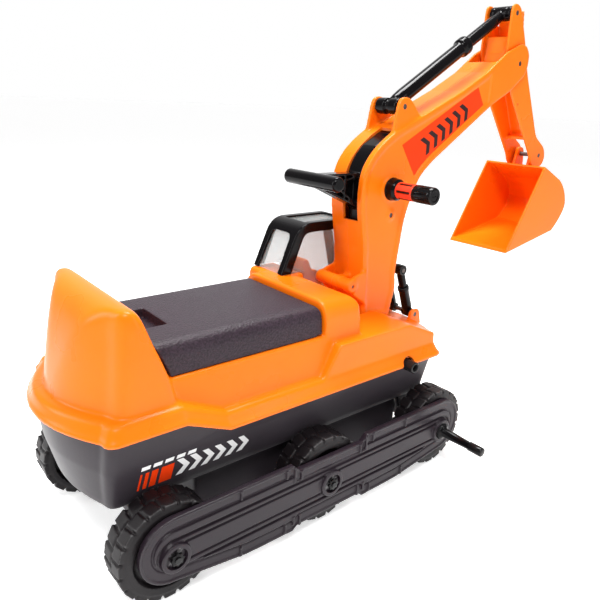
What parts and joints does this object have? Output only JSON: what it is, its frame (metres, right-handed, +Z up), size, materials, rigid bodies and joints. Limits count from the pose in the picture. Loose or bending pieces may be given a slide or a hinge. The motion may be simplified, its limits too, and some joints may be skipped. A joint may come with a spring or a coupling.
{
  "type": "toy excavator",
  "caption": "Ride-on toy excavator with a storage seat, dummy tracks over free-rolling wheels, a small cab and a hand-worked arm with a digging bucket.",
  "frame": {"origin": "on the floor, under the middle of the overall bounding box", "axes": "+X forward to the bucket, +Y to the rider's left, +Z up"},
  "size_m": [1.05, 0.482, 0.743],
  "materials": {
    "orange_plastic": "satin, blow-moulded",
    "charcoal_plastic": "satin",
    "seat_plastic": "leather-grained",
    "black_plastic": "glossy",
    "tyre_plastic": "matt, hard plastic",
    "red_plastic": "satin",
    "steel": "zinc plated",
    "clear_plastic": "clear"
  },
  "bodies": {
    "tub": {"hull": "charcoal_plastic", "shell": "orange_plastic", "track_cover_right": "charcoal_plastic", "track_cover_left": "charcoal_plastic", "foot_peg_right": "black_plastic", "foot_peg_left": "black_plastic", "hub_cap_rear_right": "black_plastic", "hub_cap_mid_right": "black_plastic", "hub_cap_rear_left": "black_plastic", "hub_cap_mid_left": "black_plastic", "axle_rear": "steel", "axle_mid": "steel", "axle_front": "steel", "cross_tube": "black_plastic", "cab_frame": "black_plastic", "cab_glazing": "clear_plastic", "cab_seat": "orange_plastic", "boom_pin": "steel", "lift_foot_pin": "steel"},
    "wheel_rr": {"wheel_rear_right": "tyre_plastic"},
    "wheel_mr": {"wheel_mid_right": "tyre_plastic"},
    "wheel_fr": {"wheel_front_right": "tyre_plastic"},
    "wheel_rl": {"wheel_rear_left": "tyre_plastic"},
    "wheel_ml": {"wheel_mid_left": "tyre_plastic"},
    "wheel_fl": {"wheel_front_left": "tyre_plastic"},
    "lid": {"seat_lid": "seat_plastic", "lid_rod": "steel"},
    "boom": {"boom_right": "orange_plastic", "boom_left": "orange_plastic", "boom_screw_low": "steel", "boom_screw_high": "steel", "lever_pin": "steel", "grip_collar": "black_plastic", "ram_foot_pin": "steel", "lift_head_pin": "steel", "stick_pin": "steel"},
    "lever": {"control_lever": "black_plastic"},
    "twist_grip": {"grip_knob": "black_plastic", "grip_sleeve": "red_plastic", "grip_washer": "steel"},
    "lift_cylinders": {"lift_ram_cylinder_right": "black_plastic", "lift_ram_cylinder_left": "black_plastic"},
    "lift_rods": {"lift_ram_rod_right": "black_plastic", "lift_ram_rod_left": "black_plastic"},
    "ram_cylinder": {"stick_ram_cylinder": "black_plastic"},
    "ram_rod": {"stick_ram_rod": "black_plastic"},
    "stick": {"stick": "orange_plastic", "ram_head_pin": "steel", "bucket_pin": "steel"},
    "bucket": {"bucket": "orange_plastic"}
  },
  "joints": [
    {"name": "wheel_rear_right_roll", "type": "hinge", "parent": "tub", "child": "wheel_rr", "pos_m": [-0.427, -0.127, 0.06544], "axis": [0, 1, 0], "continuous": true},
    {"name": "wheel_mid_right_roll", "type": "hinge", "parent": "tub", "child": "wheel_mr", "pos_m": [-0.185, -0.127, 0.06544], "axis": [0, 1, 0], "continuous": true},
    {"name": "wheel_front_right_roll", "type": "hinge", "parent": "tub", "child": "wheel_fr", "pos_m": [0.057, -0.127, 0.06544], "axis": [0, 1, 0], "continuous": true},
    {"name": "wheel_rear_left_roll", "type": "hinge", "parent": "tub", "child": "wheel_rl", "pos_m": [-0.427, 0.127, 0.06544], "axis": [0, 1, 0], "continuous": true},
    {"name": "wheel_mid_left_roll", "type": "hinge", "parent": "tub", "child": "wheel_ml", "pos_m": [-0.185, 0.127, 0.06544], "axis": [0, 1, 0], "continuous": true},
    {"name": "wheel_front_left_roll", "type": "hinge", "parent": "tub", "child": "wheel_fl", "pos_m": [0.057, 0.127, 0.06544], "axis": [0, 1, 0], "continuous": true},
    {"name": "seat_hinge", "type": "hinge", "parent": "tub", "child": "lid", "pos_m": [-0.169, 0, 0.292], "axis": [0, 1, 0], "range_deg": [0, 75]},
    {"name": "boom_lift", "type": "hinge", "parent": "tub", "child": "boom", "pos_m": [0.012, 0, 0.216], "axis": [0, 1, 0], "range_deg": [-8, 5]},
    {"name": "lift_cylinder_swing", "type": "hinge", "parent": "tub", "child": "lift_cylinders", "pos_m": [0.114, 0, 0.22], "axis": [0, 1, 0], "range_deg": [-5.2, 3.3]},
    {"name": "lift_rod_slide", "type": "slide", "parent": "lift_cylinders", "child": "lift_rods", "axis": [-0.3597, 0, 0.9331], "range_m": [-0.0086, 0.0136]},
    {"name": "lever_swing", "type": "hinge", "parent": "boom", "child": "lever", "pos_m": [0.029, 0, 0.404], "axis": [0, 1, 0], "range_deg": [-14, 8]},
    {"name": "stick_swing", "type": "hinge", "parent": "boom", "child": "stick", "pos_m": [0.331, 0, 0.649], "axis": [0, 1, 0], "range_deg": [-21, 12]},
    {"name": "ram_cylinder_swing", "type": "hinge", "parent": "boom", "child": "ram_cylinder", "pos_m": [0.042, 0, 0.569], "axis": [0, 1, 0], "range_deg": [-1.6, 1]},
    {"name": "ram_rod_slide", "type": "slide", "parent": "ram_cylinder", "child": "ram_rod", "axis": [0.8595, 0, 0.5112], "range_m": [-0.031, 0.018]},
    {"name": "grip_twist", "type": "hinge", "parent": "boom", "child": "twist_grip", "pos_m": [0.025, -0.08, 0.446], "axis": [0, 1, 0], "range_deg": [-35, 4]},
    {"name": "bucket_curl", "type": "hinge", "parent": "stick", "child": "bucket", "pos_m": [0.457, 0, 0.487], "axis": [0, 1, 0], "range_deg": [-35, 4]}
  ],
  "couplings": [
    {"joint": "lift_cylinder_swing", "follows": "boom_lift", "ratio": 0.621},
    {"joint": "lift_rod_slide", "follows": "boom_lift", "m_per_rad": -0.0963},
    {"joint": "stick_swing", "follows": "lever_swing", "ratio": 1.5},
    {"joint": "ram_cylinder_swing", "follows": "lever_swing", "ratio": 0.0945},
    {"joint": "ram_rod_slide", "follows": "lever_swing", "m_per_rad": 0.1219},
    {"joint": "bucket_curl", "follows": "grip_twist", "ratio": 1}
  ]
}
